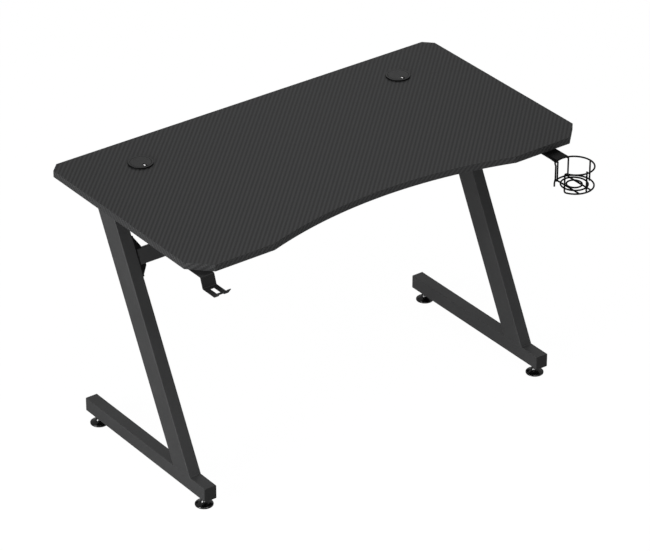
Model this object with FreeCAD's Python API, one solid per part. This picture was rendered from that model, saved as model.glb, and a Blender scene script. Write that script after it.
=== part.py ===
import FreeCAD, Part
import math
import os

V = FreeCAD.Vector
UP = V(0, 0, 1)
ACROSS = V(1, 0, 0)

# Desktop board: a chipboard core under a thin carbon-look foil
board_width = 1200.0
board_depth = 648.0
board_thickness = 18.0
board_height = 732.0
foil_thickness = 0.4
back_corner_cut = 25.0
front_corner_cut = 54.0
bay_half_width = 372.0
bay_depth = 59.5

# Cable grommets: a flanged ring let into the board and a cap that turns in it
grommet_side_inset = 196.5
grommet_back_inset = 121.0
grommet_hole_radius = 30.0
grommet_fit = 0.2
grommet_sleeve_wall = 2.5
grommet_sleeve_depth = 15.0
grommet_flange_radius = 32.5
grommet_flange_height = 4.0
grommet_flange_round = 0.6
grommet_ledge_radius = 18.5
grommet_ledge_depth = 1.0
cap_radius = 27.0
cap_thickness = 3.0
cap_clearance = 0.4
cap_notch_width = 6.5
cap_notch_inner_radius = 12.0

# Legs: each a foot bar, a leaning post and a top bar of welded rectangular tube
leg_side_inset = 52.4
tube_width = 35.0
tube_wall = 1.5
tube_corner = 2.0
foot_bar_height = 38.0
foot_bar_length = 534.0
foot_bar_back_inset = 55.5
floor_gap = 27.0
post_section = 65.0
post_lean_degrees = 27.4
post_front_setback = 66.0
top_bar_height = 38.0
top_bar_length = 465.0
top_bar_back_inset = 95.0

# End caps pushed into the open ends of the bars
end_cap_lip = 2.5
end_cap_plug_depth = 14.0
end_cap_fit = 0.2
end_cap_wall = 1.8

# Levelling feet: a swivel pad on a threaded stud that screws into a nut in the foot bar
foot_front_inset = 29.0
foot_back_inset = 34.0
pad_radius = 23.8
pad_edge_height = 3.5
pad_shoulder_radius = 21.8
pad_shoulder_height = 5.5
pad_neck_radius = 8.5
pad_neck_height = 15.0
pad_top_radius = 7.5
pad_height = 20.0
pad_hollow_shares = (0.42, 0.30)
stud_radius = 4.0
stud_reach = 18.0
stud_foot_radius = 6.0
stud_foot_height = 2.8
stud_foot_seat = 8.0
stud_foot_clearance = 0.3
thread_clearance = 0.08
foot_nut_radius = 5.5
foot_nut_length = 12.0
foot_nut_flange_radius = 7.5
foot_nut_flange = 1.0
nut_hole_clearance = 0.05

# Cross beam between the posts, with a bolted bracket at each end
beam_height = 40.0
beam_section = 30.0
beam_drop = 125.45
beam_recess = 0.5
beam_wall = 1.5
bracket_plate = 3.0
bracket_above = 55.5
bracket_below = 49.5
bracket_depth = 56.0
bracket_rib = 4.0
bracket_rib_recess = 3.0
bracket_rib_reach = 18.5
bracket_rib_tip_half_height = 25.0
bolt_half_pitch = 36.0
bolt_rows = (22.0, 46.0)
bolt_radius = 3.0
bolt_length = 18.0
bolt_head_radius = 5.25
bolt_head_height = 3.3
bolt_hole_clearance = 0.3
insert_radius = 4.5
insert_length = 12.0
insert_collar_radius = 6.0
insert_collar_height = 2.0
insert_clearance = 0.05

# Screws that hold the top bars, the hook and the cup holder to the board
screw_radius = 2.5
screw_bite = 12.0
screw_head_radius = 4.6
screw_head_height = 2.6
screw_clearance = 0.05
screw_hole_clearance = 0.25
top_screw_shares = (0.08, 0.50, 0.92)
access_hole_radius = 6.5

# Headphone hook: a bent strap under the front left corner
hook_side_inset = 9.5
hook_width = 40.0
hook_sheet = 2.5
hook_bend = 3.0
hook_strap_length = 88.0
hook_overhang = 0.1
hook_drop = 27.4
hook_drop_forward = 9.5
hook_tongue_length = 48.0
hook_lip_rise = 15.0
hook_lip_forward = 11.5
hook_slot_width = 12.0
hook_slot_length = 30.0
hook_slot_setback = 10.3
hook_notch_width = 17.0
hook_notch_depth = 3.5
hook_screw_insets = (14.0, 40.0)

# Cup holder: a flanged arm under the front right of the board that carries a wire basket
arm_side_inset = 97.7
arm_width = 40.0
arm_sheet = 2.0
arm_flange_height = 8.0
arm_length_under = 86.0
arm_screw_insets = (16.0, 52.0)
wire_radius = 2.2
weld_gap = 0.1
ring_radius = 49.5
ring_reach = 97.0
ring_drop = 53.8
ring_bend = 5.0
rim_left_degrees = 122.0
rim_gap_degrees = -154.0
upright_degrees = (71.4, -7.5, -88.2, rim_left_degrees)
middle_ring_radius = 34.7
inner_ring_radius = 19.8
floor_wire_offset = 17.8
hanger_weld = 12.0
hanger_tail = 20.0
hanger_tail_step = 2.6
hanger_knee = 7.0
hanger_jog = 2.6
hanger_jog_fall = 6.0
hanger_bend = 4.0

# One overrun for every cut
overrun = 5.0

# Places worked out from the sizes: the origin is on the floor under the middle of the whole outline
overall_depth = board_depth + ring_reach + ring_radius + wire_radius
back_y = overall_depth / 2
front_y = back_y - board_depth
half_width = board_width / 2
under_z = board_height - board_thickness
leg_outer_x = half_width - leg_side_inset
leg_inner_x = leg_outer_x - tube_width
leg_middle_x = (leg_outer_x + leg_inner_x) / 2
foot_bar_top = floor_gap + foot_bar_height
foot_bar_back_y = back_y - foot_bar_back_inset
foot_bar_front_y = foot_bar_back_y - foot_bar_length
top_bar_under = under_z - top_bar_height
top_bar_back_y = back_y - top_bar_back_inset
top_bar_front_y = top_bar_back_y - top_bar_length
lean = math.radians(post_lean_degrees)
post_length = (top_bar_under - foot_bar_top) / math.cos(lean)
beam_rise = post_length - beam_drop
post_front_y = foot_bar_front_y + post_front_setback
along_post = V(0, math.sin(lean), math.cos(lean))
behind_post = V(0, math.cos(lean), -math.sin(lean))
sides = {"left": -1, "right": 1}


def box(low, high):
    """Solid block between two corners."""
    return Part.makeBox(high.x - low.x, high.y - low.y, high.z - low.z, low)


def mirrored(shape):
    """The same piece on the other side of the desk."""
    return shape.mirror(V(0, 0, 0), ACROSS)


def on_side(shape, side):
    """Pieces are modelled on the right; the left ones are their mirror image."""
    return shape if sides[side] > 0 else mirrored(shape)


def turned(points):
    """Solid of revolution about Z through a closed outline of (radius, height) points."""
    outline = Part.makePolygon([V(r, 0, z) for r, z in points] + [V(points[0][0], 0, points[0][1])])
    return Part.Face(outline).revolve(V(0, 0, 0), UP, 360)


def tube_section(width, depth, length, wall):
    """Rectangular tube with rounded corners, standing on the origin along +Z."""
    outer = Part.makeBox(width, depth, length, V(-width / 2, -depth / 2, 0))
    upright = [e for e in outer.Edges if abs(e.Vertexes[0].Z - e.Vertexes[-1].Z) > length / 2]
    outer = outer.makeFillet(tube_corner, upright)
    hollow = Part.makeBox(width - 2 * wall, depth - 2 * wall, length + 2 * overrun,
                          V(wall - width / 2, wall - depth / 2, -overrun))
    return outer.cut(hollow)


def bar_along_y(front, low_z, height, length):
    """Hollow bar of the legs' tube that runs from front to back on the right leg's centre line."""
    bar = tube_section(tube_width, height, length, tube_wall)
    bar.rotate(V(0, 0, 0), ACROSS, -90)
    bar.translate(V(leg_middle_x, front, low_z + height / 2))
    return bar


def rounded_path(points, bend):
    """Wire of straight runs joined by tangent arcs of one bend radius."""
    edges = []
    start = points[0]
    for before, corner, after in zip(points, points[1:], points[2:]):
        to_before = (before - corner).normalize()
        to_after = (after - corner).normalize()
        half = to_before.getAngle(to_after) / 2
        leg = bend / math.tan(half)
        first = corner + to_before * leg
        last = corner + to_after * leg
        middle = (to_before + to_after).normalize()
        top = corner + middle * (bend / math.sin(half) - bend)
        edges += [Part.LineSegment(start, first).toShape(), Part.Arc(first, top, last).toShape()]
        start = last
    edges.append(Part.LineSegment(start, points[-1]).toShape())
    return Part.Wire(edges)


def wire_along(path, start, direction):
    """Round rod of the basket's wire along a path."""
    section = Part.Wire(Part.makeCircle(wire_radius, start, direction))
    return path.makePipeShell([section], True, False)


def straight_wire(start, end):
    """Straight rod of the basket's wire."""
    run = end - start
    return Part.makeCylinder(wire_radius, run.Length, start, run)


def board_face(z):
    """Outline of the desktop: cut corners and a front edge that bows in towards the sitter."""
    corners = [V(-bay_half_width, front_y, z), V(front_corner_cut - half_width, front_y, z),
               V(-half_width, front_y + front_corner_cut, z), V(-half_width, back_y - back_corner_cut, z),
               V(back_corner_cut - half_width, back_y, z), V(half_width - back_corner_cut, back_y, z),
               V(half_width, back_y - back_corner_cut, z), V(half_width, front_y + front_corner_cut, z),
               V(half_width - front_corner_cut, front_y, z), V(bay_half_width, front_y, z)]
    edges = [Part.LineSegment(a, b).toShape() for a, b in zip(corners, corners[1:])]
    edges.append(Part.Arc(corners[-1], V(0, front_y + bay_depth, z), corners[0]).toShape())
    return Part.Face(Part.Wire(edges))


def grommet_centre(side):
    return V(sides[side] * (half_width - grommet_side_inset), back_y - grommet_back_inset, board_height)


def top_screw_places():
    """Screws up through the top wall of each top bar, shared out along its length."""
    return [V(sides[side] * leg_middle_x, top_bar_front_y + share * top_bar_length, under_z - tube_wall)
            for side in sides for share in top_screw_shares]


def hook_left_x():
    return hook_side_inset - half_width


def hook_screw_places():
    """Two screws through the hook's strap, set back from where the cut corner crosses its middle."""
    middle_x = hook_left_x() + hook_width / 2
    edge_y = front_y + front_corner_cut - (middle_x + half_width)
    return [V(middle_x, edge_y + inset, under_z - hook_sheet) for inset in hook_screw_insets]


def arm_middle_x():
    return half_width - arm_side_inset - arm_width / 2


def arm_screw_places():
    return [V(arm_middle_x(), front_y + inset, under_z - arm_sheet) for inset in arm_screw_insets]


def screw(seat, through):
    """Pan-head screw driven up: its head hangs below the seat, its shank bites the board."""
    head = Part.makeCylinder(screw_head_radius, screw_head_height, seat - UP * screw_head_height)
    return head.fuse(Part.makeCylinder(screw_radius, through + screw_bite, seat)).removeSplitter()


def pilot_hole(seat):
    """Blind hole in the board for one screw."""
    mouth = V(seat.x, seat.y, under_z - overrun)
    return Part.makeCylinder(screw_radius + screw_clearance, overrun + screw_bite + screw_clearance, mouth)


def desktop():
    """Chipboard core and the foil that is pressed over its top and edges."""
    blank = board_face(under_z).extrude(UP * board_thickness)
    inner_face = Part.Face(board_face(under_z).OuterWire.makeOffset2D(-foil_thickness))
    core = inner_face.extrude(UP * (board_thickness - foil_thickness))
    foil = blank.cut(core)
    for side in sides:
        hole = Part.makeCylinder(grommet_hole_radius, board_thickness + 2 * overrun,
                                 grommet_centre(side) - UP * (board_thickness + overrun))
        core = core.cut(hole)
        foil = foil.cut(hole)
    for seat in top_screw_places() + hook_screw_places() + arm_screw_places():
        core = core.cut(pilot_hole(seat))
    return {"desktop_core": core, "desktop_foil": foil}


def grommet(side):
    """Flanged ring with a ledge, and the cap that drops onto the ledge and turns there."""
    sleeve_outer = grommet_hole_radius - grommet_fit
    sleeve_inner = sleeve_outer - grommet_sleeve_wall
    seat = grommet_flange_height - cap_thickness
    rim_inner = cap_radius + cap_clearance
    ring = turned([(sleeve_inner, -grommet_sleeve_depth), (sleeve_outer, -grommet_sleeve_depth),
                   (sleeve_outer, 0), (grommet_flange_radius, 0),
                   (grommet_flange_radius, grommet_flange_height - grommet_flange_round),
                   (grommet_flange_radius - grommet_flange_round, grommet_flange_height),
                   (rim_inner, grommet_flange_height), (rim_inner, seat), (grommet_ledge_radius, seat),
                   (grommet_ledge_radius, -grommet_ledge_depth), (sleeve_inner, -grommet_ledge_depth)])
    cap = Part.makeCylinder(cap_radius, cap_thickness, V(0, 0, seat))
    notch_end = V(0, -cap_notch_inner_radius - cap_notch_width / 2, seat - overrun)
    notch_height = cap_thickness + 2 * overrun
    notch = Part.makeCylinder(cap_notch_width / 2, notch_height, notch_end)
    notch = notch.fuse(box(V(-cap_notch_width / 2, -cap_radius - overrun, notch_end.z),
                           V(cap_notch_width / 2, notch_end.y, notch_end.z + notch_height)))
    cap = cap.cut(notch)
    for piece in (ring, cap):
        piece.translate(grommet_centre(side))
    return {f"{side}_grommet_ring": ring, f"{side}_grommet_cap": cap}


def end_cap(front, back, low_z, height, at_front):
    """Plastic plug with a lip that covers the tube's end."""
    inward = 1 if at_front else -1
    end_y = front if at_front else back
    lip_ends = sorted((end_y, end_y + inward * end_cap_lip))
    lip = box(V(leg_inner_x, lip_ends[0], low_z), V(leg_outer_x, lip_ends[1], low_z + height))
    along = [e for e in lip.Edges if abs(e.Vertexes[0].Y - e.Vertexes[-1].Y) > end_cap_lip / 2]
    lip = lip.makeFillet(tube_corner, along)
    inset = tube_wall + end_cap_fit
    plug_ends = sorted((end_y + inward * end_cap_lip, end_y + inward * (end_cap_lip + end_cap_plug_depth)))
    plug = box(V(leg_inner_x + inset, plug_ends[0], low_z + inset),
               V(leg_outer_x - inset, plug_ends[1], low_z + height - inset))
    core_ends = sorted((plug_ends[0], plug_ends[1] + inward * overrun) if at_front
                       else (plug_ends[0] - overrun, plug_ends[1]))
    inset += end_cap_wall
    core = box(V(leg_inner_x + inset, core_ends[0], low_z + inset),
               V(leg_outer_x - inset, core_ends[1], low_z + height - inset))
    return lip.fuse(plug.cut(core)).removeSplitter()


def foot_places():
    """Distance of each levelling foot along its bar, by name."""
    return {"front": foot_bar_front_y + foot_front_inset, "back": foot_bar_back_y - foot_back_inset}


def bolt_places():
    """Bolt centres on the right post's inner face."""
    base = V(leg_inner_x, post_front_y, foot_bar_top)
    return [base + along_post * (beam_rise + step * bolt_half_pitch) + behind_post * row
            for step in (-1, 1) for row in bolt_rows]


def leg(side):
    """Foot bar, leaning post and top bar of one leg, with the caps in the bars' ends."""
    bar_ends = (foot_bar_front_y, foot_bar_back_y)
    foot = bar_along_y(bar_ends[0] + end_cap_lip, floor_gap, foot_bar_height,
                       foot_bar_length - 2 * end_cap_lip)
    for y in foot_places().values():
        below = V(leg_middle_x, y, floor_gap - overrun)
        foot = foot.cut(Part.makeCylinder(foot_nut_radius + nut_hole_clearance,
                                          overrun + foot_bar_height / 2, below))
    top_ends = (top_bar_front_y, top_bar_back_y)
    top = bar_along_y(top_ends[0] + end_cap_lip, top_bar_under, top_bar_height,
                      top_bar_length - 2 * end_cap_lip)
    for seat in top_screw_places():
        if seat.x > 0:
            top = top.cut(Part.makeCylinder(screw_radius + screw_hole_clearance, tube_wall + 2 * overrun,
                                            seat - UP * overrun))
            top = top.cut(Part.makeCylinder(access_hole_radius, tube_wall + 2 * overrun,
                                            V(seat.x, seat.y, top_bar_under - overrun)))
    spare = post_section
    post = tube_section(tube_width, post_section, post_length + 2 * spare, tube_wall)
    post.translate(V(0, post_section / 2, -spare))
    post.rotate(V(0, 0, 0), ACROSS, -post_lean_degrees)
    post.translate(V(leg_middle_x, post_front_y, foot_bar_top))
    reach = board_depth
    keep = box(V(leg_inner_x - overrun, post_front_y - reach, foot_bar_top),
               V(leg_outer_x + overrun, post_front_y + reach, top_bar_under))
    post = post.common(keep)
    for place in bolt_places():
        post = post.cut(Part.makeCylinder(insert_radius + insert_clearance, tube_wall + overrun,
                                          place - ACROSS * (overrun - tube_wall), ACROSS))
    pieces = {"foot_bar": foot, "post": post, "top_bar": top}
    for end in ("front", "back"):
        pieces[f"foot_{end}_cap"] = end_cap(*bar_ends, floor_gap, foot_bar_height, end == "front")
        pieces[f"top_bar_{end}_cap"] = end_cap(*top_ends, top_bar_under, top_bar_height, end == "front")
    return {f"{side}_{name}": on_side(shape, side) for name, shape in pieces.items()}


def levelling_foot(side, end):
    """Bell-shaped pad that stands on the floor, and the stud that turns in it and screws into the bar."""
    cavity = stud_foot_radius + stud_foot_clearance
    bore = stud_radius + thread_clearance
    cavity_top = stud_foot_seat + stud_foot_height + stud_foot_clearance
    radius_share, height_share = pad_hollow_shares
    waist = (pad_neck_radius + radius_share * (pad_shoulder_radius - pad_neck_radius),
             pad_shoulder_height + height_share * (pad_neck_height - pad_shoulder_height))
    pad = turned([(0, 0), (pad_radius, 0), (pad_radius, pad_edge_height),
                  (pad_shoulder_radius, pad_shoulder_height), waist, (pad_neck_radius, pad_neck_height),
                  (pad_top_radius, pad_height), (bore, pad_height), (bore, cavity_top),
                  (cavity, cavity_top), (cavity, stud_foot_seat), (0, stud_foot_seat)])
    stud = Part.makeCylinder(stud_radius, floor_gap + stud_reach - stud_foot_seat, UP * stud_foot_seat)
    disc = Part.makeCylinder(stud_foot_radius, stud_foot_height, UP * stud_foot_seat)
    stud = stud.fuse(disc).removeSplitter()
    place = V(sides[side] * leg_middle_x, foot_places()[end], 0)
    for piece in (pad, stud):
        piece.translate(place)
    return {f"{side}_{end}_pad": pad, f"{side}_{end}_stud": stud}


def foot_nuts():
    """Flanged nuts set into the foot bars' bottom walls, one over each foot."""
    nuts = []
    for side in sides:
        for y in foot_places().values():
            nut = turned([(stud_radius + thread_clearance, -foot_nut_flange),
                          (foot_nut_flange_radius, -foot_nut_flange), (foot_nut_flange_radius, 0),
                          (foot_nut_radius, 0), (foot_nut_radius, foot_nut_length),
                          (stud_radius + thread_clearance, foot_nut_length)])
            nut.translate(V(sides[side] * leg_middle_x, y, floor_gap))
            nuts.append(nut)
    return {"foot_nuts": Part.makeCompound(nuts)}


def post_frame(x, rise, depth):
    """Point given across the desk, up along the post and behind its front face."""
    return V(x, post_front_y, foot_bar_top) + along_post * rise + behind_post * depth


def cross_beam():
    """Rectangular tube between the two brackets, tilted with the posts."""
    length = 2 * (leg_inner_x - bracket_plate)
    beam = tube_section(beam_section, beam_height, length, beam_wall)
    beam.rotate(V(0, 0, 0), V(0, 1, 0), 90)
    beam.rotate(V(0, 0, 0), ACROSS, 90 - post_lean_degrees)
    middle = post_frame(bracket_plate - leg_inner_x, beam_rise, beam_recess + beam_section / 2)
    beam.translate(middle)
    return {"cross_beam": beam}


def beam_bracket(side):
    """End plate bolted to the post, with a flared rib above and below the beam."""
    inner_x = leg_inner_x - bracket_plate
    outline = [post_frame(inner_x, beam_rise + rise, depth)
               for rise, depth in ((-bracket_below, 0), (bracket_above, 0),
                                   (bracket_above, bracket_depth), (-bracket_below, bracket_depth))]
    plate = Part.Face(Part.makePolygon(outline + outline[:1])).extrude(ACROSS * bracket_plate)
    for place in bolt_places():
        plate = plate.cut(Part.makeCylinder(bolt_radius + bolt_hole_clearance, bracket_plate + 2 * overrun,
                                            place - ACROSS * (bracket_plate + overrun), ACROSS))
    tip_x = leg_inner_x - bracket_rib_reach
    for step, end in ((-1, bracket_below), (1, bracket_above)):
        rib = [(inner_x, beam_height / 2), (tip_x, beam_height / 2), (tip_x, bracket_rib_tip_half_height),
               (inner_x, end)]
        corners = [post_frame(x, beam_rise + step * rise, bracket_rib_recess) for x, rise in rib]
        flank = Part.Face(Part.makePolygon(corners + corners[:1]))
        plate = plate.fuse(flank.extrude(behind_post * bracket_rib))
    return {f"{side}_beam_bracket": on_side(plate.removeSplitter(), side)}


def beam_fasteners():
    """Bolts through the brackets and the threaded inserts that take them in the posts' inner walls."""
    bolts = []
    inserts = []
    for place in bolt_places():
        seat = place - ACROSS * bracket_plate
        head = Part.makeCylinder(bolt_head_radius, bolt_head_height,
                                 seat - ACROSS * bolt_head_height, ACROSS)
        bolt = head.fuse(Part.makeCylinder(bolt_radius, bolt_length, seat, ACROSS)).removeSplitter()
        insert = Part.makeCylinder(insert_radius, insert_length, place, ACROSS)
        collar = Part.makeCylinder(insert_collar_radius, insert_collar_height,
                                   place + ACROSS * tube_wall, ACROSS)
        bore = Part.makeCylinder(bolt_radius + insert_clearance, insert_length + 2 * overrun,
                                 place - ACROSS * overrun, ACROSS)
        insert = insert.fuse(collar).cut(bore).removeSplitter()
        bolts += [bolt, mirrored(bolt)]
        inserts += [insert, mirrored(insert)]
    return {"beam_bolts": Part.makeCompound(bolts), "beam_inserts": Part.makeCompound(inserts)}


def top_screws():
    return {"top_bar_screws": Part.makeCompound([screw(seat, tube_wall) for seat in top_screw_places()])}


def headphone_hook():
    """Strap bent down, forward and up again, with a slot in its tongue and a gap in its lip."""
    middle_z = under_z - hook_sheet / 2
    bend_y = front_y - hook_overhang
    tongue_back = bend_y - hook_drop_forward
    tongue_front = tongue_back - hook_tongue_length
    tongue_z = middle_z - hook_drop
    back = bend_y + hook_strap_length
    points = [V(0, back, middle_z), V(0, bend_y, middle_z), V(0, tongue_back, tongue_z),
              V(0, tongue_front, tongue_z), V(0, tongue_front - hook_lip_forward, tongue_z + hook_lip_rise)]
    path = rounded_path(points, hook_bend)
    half_sheet = hook_sheet / 2
    low = middle_z - half_sheet
    high = middle_z + half_sheet
    section = Part.makePolygon([V(0, back, low), V(hook_width, back, low), V(hook_width, back, high),
                                V(0, back, high), V(0, back, low)])
    hook = path.makePipeShell([section], True, False)
    slot_low = tongue_back - hook_slot_setback - hook_slot_length
    slot_x = (hook_width - hook_slot_width) / 2
    hook = hook.cut(box(V(slot_x, slot_low, tongue_z - overrun),
                        V(slot_x + hook_slot_width, slot_low + hook_slot_length, tongue_z + overrun)))
    tip = points[-1]
    notch_x = (hook_width - hook_notch_width) / 2
    hook = hook.cut(box(V(notch_x, tip.y - overrun, tongue_z - overrun),
                        V(notch_x + hook_notch_width, tongue_front + hook_notch_depth, tip.z + overrun)))
    hook.translate(V(hook_left_x(), 0, 0))
    for seat in hook_screw_places():
        hook = hook.cut(Part.makeCylinder(screw_radius + screw_hole_clearance, hook_sheet + 2 * overrun,
                                          seat - UP * overrun))
    screws = Part.makeCompound([screw(seat, hook_sheet) for seat in hook_screw_places()])
    return {"headphone_hook": hook, "hook_screws": screws}


def ring_point(radius, degrees, z):
    """Point on one of the basket's rings."""
    turn = math.radians(degrees)
    return V(arm_middle_x() + radius * math.cos(turn), front_y - ring_reach + radius * math.sin(turn), z)


def ring_wire(radius, z):
    """Closed ring of the basket's wire."""
    return Part.makeTorus(radius, wire_radius, ring_point(0, 0, z), UP)


def basket_rim(top_z, low_z):
    """One length of wire: round the top, down beside the mug handle's gap, and round the bottom."""
    def arc(first, last, z):
        halfway = ring_point(ring_radius, (first + last) / 2, z)
        ends = [ring_point(ring_radius, turn, z) for turn in (first, last)]
        return Part.Arc(ends[0], halfway, ends[1]).toShape()

    turn = math.radians(rim_gap_degrees)
    onward = V(math.sin(turn), -math.cos(turn), 0)
    corner = math.sqrt(2) / 2
    edges = [arc(rim_left_degrees, rim_gap_degrees, top_z)]
    ends = [ring_point(ring_radius, rim_gap_degrees, z) for z in (top_z, low_z)]
    down = [ends[0] + onward * ring_bend - UP * ring_bend, ends[1] + onward * ring_bend + UP * ring_bend]
    bend_tops = [ends[0] + onward * (ring_bend * corner) - UP * (ring_bend * (1 - corner)),
                 ends[1] + onward * (ring_bend * corner) + UP * (ring_bend * (1 - corner))]
    edges.append(Part.Arc(ends[0], bend_tops[0], down[0]).toShape())
    edges.append(Part.LineSegment(down[0], down[1]).toShape())
    edges.append(Part.Arc(down[1], bend_tops[1], ends[1]).toShape())
    edges.append(arc(rim_gap_degrees, rim_left_degrees, low_z))
    start_turn = math.radians(rim_left_degrees)
    return wire_along(Part.Wire(edges), ring_point(ring_radius, rim_left_degrees, top_z),
                      V(math.sin(start_turn), -math.cos(start_turn), 0))


def cup_holder():
    """Arm screwed under the board, and the welded wire basket in front of it."""
    top_z = under_z - arm_sheet / 2
    low_z = top_z - ring_drop
    left_x = arm_middle_x() - arm_width / 2
    right_x = left_x + arm_width
    front = front_y - ring_reach
    channel = box(V(left_x, front, under_z - arm_flange_height),
                  V(right_x, front_y + arm_length_under, under_z))
    inside = box(V(left_x + arm_sheet, front - overrun, under_z - arm_flange_height - overrun),
                 V(right_x - arm_sheet, front_y + arm_length_under + overrun, under_z - arm_sheet))
    arm = channel.cut(inside)
    arm = arm.cut(Part.makeCylinder(ring_radius + wire_radius + weld_gap, arm_flange_height + 2 * overrun,
                                    ring_point(0, 0, under_z - arm_flange_height - overrun)))
    for seat in arm_screw_places():
        arm = arm.cut(Part.makeCylinder(screw_radius + screw_hole_clearance, arm_sheet + 2 * overrun,
                                        seat - UP * overrun))
    inside_radius = ring_radius - 2 * wire_radius - weld_gap
    uprights = [straight_wire(ring_point(inside_radius, turn, low_z),
                              ring_point(inside_radius, turn, top_z + wire_radius))
                for turn in upright_degrees]
    floor_step = wire_radius + weld_gap / 2
    centre = ring_point(0, 0, low_z - floor_step)
    end_reach = ring_radius - wire_radius - weld_gap
    half_run = math.sqrt(end_reach ** 2 - (floor_wire_offset + wire_radius) ** 2)
    floor_wires = [straight_wire(centre + V(side * floor_wire_offset, half_run, 0),
                                 centre + V(side * floor_wire_offset, -half_run, 0)) for side in (-1, 1)]
    beside = wire_radius + weld_gap
    tuck = arm_width / 2 + beside - hanger_jog
    hang_y = front + math.sqrt((ring_radius + 2 * beside) ** 2 - tuck ** 2)
    corner = V(left_x - beside, hang_y, under_z - arm_flange_height / 2)
    knee = corner - UP * hanger_knee
    under_arm = knee + V(hanger_jog, 0, -hanger_jog_fall)
    foot = V(under_arm.x, hang_y, low_z)
    tail = foot - ACROSS * hanger_tail_step - UP * (hanger_tail / 2)
    end = tail - UP * (hanger_tail / 2)
    points = [corner + V(0, hanger_weld, 0), corner, knee, under_arm, foot, tail, end]
    hanger = wire_along(rounded_path(points, hanger_bend), points[0], points[1] - points[0])
    screws = Part.makeCompound([screw(seat, arm_sheet) for seat in arm_screw_places()])
    return {"cup_arm": arm, "cup_rim_wire": basket_rim(top_z, low_z),
            "cup_right_back_upright": uprights[0], "cup_right_upright": uprights[1],
            "cup_front_upright": uprights[2], "cup_left_back_upright": uprights[3],
            "cup_middle_ring": ring_wire(middle_ring_radius, low_z + floor_step),
            "cup_inner_ring": ring_wire(inner_ring_radius, low_z + floor_step),
            "cup_left_floor_wire": floor_wires[0], "cup_right_floor_wire": floor_wires[1],
            "cup_hanger": hanger, "cup_arm_screws": screws}


pieces = desktop()
for side in sides:
    pieces |= leg(side) | grommet(side) | beam_bracket(side)
    for end in foot_places():
        pieces |= levelling_foot(side, end)
pieces |= foot_nuts() | cross_beam() | beam_fasteners() | top_screws() | headphone_hook() | cup_holder()

os.makedirs("parts", exist_ok=True)
for node, shape in pieces.items():
    assert shape.isValid(), node
    shape.exportStep(f"parts/{node}.step")
    size = shape.BoundBox
    print(f"{node:24s} solids {len(shape.Solids)} x {size.XMin:7.1f} {size.XMax:7.1f} "
          f"y {size.YMin:7.1f} {size.YMax:7.1f} z {size.ZMin:6.1f} {size.ZMax:6.1f}")
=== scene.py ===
import bpy
import math
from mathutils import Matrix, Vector


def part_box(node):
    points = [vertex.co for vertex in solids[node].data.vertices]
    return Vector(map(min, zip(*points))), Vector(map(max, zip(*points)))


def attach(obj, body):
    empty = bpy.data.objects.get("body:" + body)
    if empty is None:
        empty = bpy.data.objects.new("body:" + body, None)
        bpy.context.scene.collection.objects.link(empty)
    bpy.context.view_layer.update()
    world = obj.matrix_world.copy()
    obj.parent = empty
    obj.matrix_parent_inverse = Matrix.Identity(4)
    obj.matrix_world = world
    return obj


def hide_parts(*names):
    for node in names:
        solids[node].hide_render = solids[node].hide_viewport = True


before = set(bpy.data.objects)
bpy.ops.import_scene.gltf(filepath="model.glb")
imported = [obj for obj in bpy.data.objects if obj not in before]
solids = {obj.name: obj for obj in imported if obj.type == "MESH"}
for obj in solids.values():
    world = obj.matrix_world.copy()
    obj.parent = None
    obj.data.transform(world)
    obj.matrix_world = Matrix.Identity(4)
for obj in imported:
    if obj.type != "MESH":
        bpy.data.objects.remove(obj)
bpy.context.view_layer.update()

# Leg tubes: each leg is a foot bar, a leaning post and a top bar of steel tube, cut and welded.
# They are degreased and powder coated in one go, a fine-grained matt charcoal that hides the seams.


def bare_finish(name, specular):
    """A plain finish: its material, its node tree, its shader and the place on the piece."""
    finish = bpy.data.materials.new(name)
    finish.use_nodes = True
    tree = finish.node_tree
    shader = tree.nodes["Principled BSDF"]
    shader.inputs["Specular IOR Level"].default_value = specular
    place = tree.nodes.new("ShaderNodeTexCoord").outputs["Object"]
    return finish, tree, shader, place


def emboss(tree, shader, height, depth, strength):
    """Raises the surface of a finish by a pattern of heights."""
    bump = tree.nodes.new("ShaderNodeBump")
    bump.inputs["Distance"].default_value = depth
    bump.inputs["Strength"].default_value = strength
    tree.links.new(height, bump.inputs["Height"])
    tree.links.new(bump.outputs["Normal"], shader.inputs["Normal"])


def grained_finish(name, colour, roughness, specular, grain_size, grain_depth, drift_size, drift, metal=0):
    """Finish with a fine surface grain, a slow drift in its shade and an uneven gloss."""
    finish, tree, shader, place = bare_finish(name, specular)
    shader.inputs["Metallic"].default_value = metal
    gloss_spread = 0.05

    def noise(size, detail):
        field = tree.nodes.new("ShaderNodeTexNoise")
        field.inputs["Scale"].default_value = 1 / size
        field.inputs["Detail"].default_value = detail
        tree.links.new(place, field.inputs["Vector"])
        return field.outputs["Fac"]

    def spread(value, low, high):
        """Stretches a noise, which seldom leaves 0.3 to 0.7, from one number to another."""
        ramp = tree.nodes.new("ShaderNodeMapRange")
        ramp.inputs["From Min"].default_value = 0.3
        ramp.inputs["From Max"].default_value = 0.7
        ramp.inputs["To Min"].default_value = low
        ramp.inputs["To Max"].default_value = high
        tree.links.new(value, ramp.inputs["Value"])
        return ramp.outputs["Result"]

    cloud = noise(drift_size, detail=3)
    grain = noise(grain_size, detail=2)
    shade = tree.nodes.new("ShaderNodeMix")
    shade.data_type = "RGBA"
    shade.inputs["A"].default_value = [c * (1 - drift) for c in colour] + [1]
    shade.inputs["B"].default_value = [c * (1 + drift) for c in colour] + [1]
    tree.links.new(spread(cloud, 0, 1), shade.inputs["Factor"])
    tree.links.new(shade.outputs["Result"], shader.inputs["Base Color"])
    gloss = spread(grain, roughness - gloss_spread, roughness + gloss_spread)
    tree.links.new(gloss, shader.inputs["Roughness"])
    emboss(tree, shader, grain, grain_depth, strength=0.6)
    return finish


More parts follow.
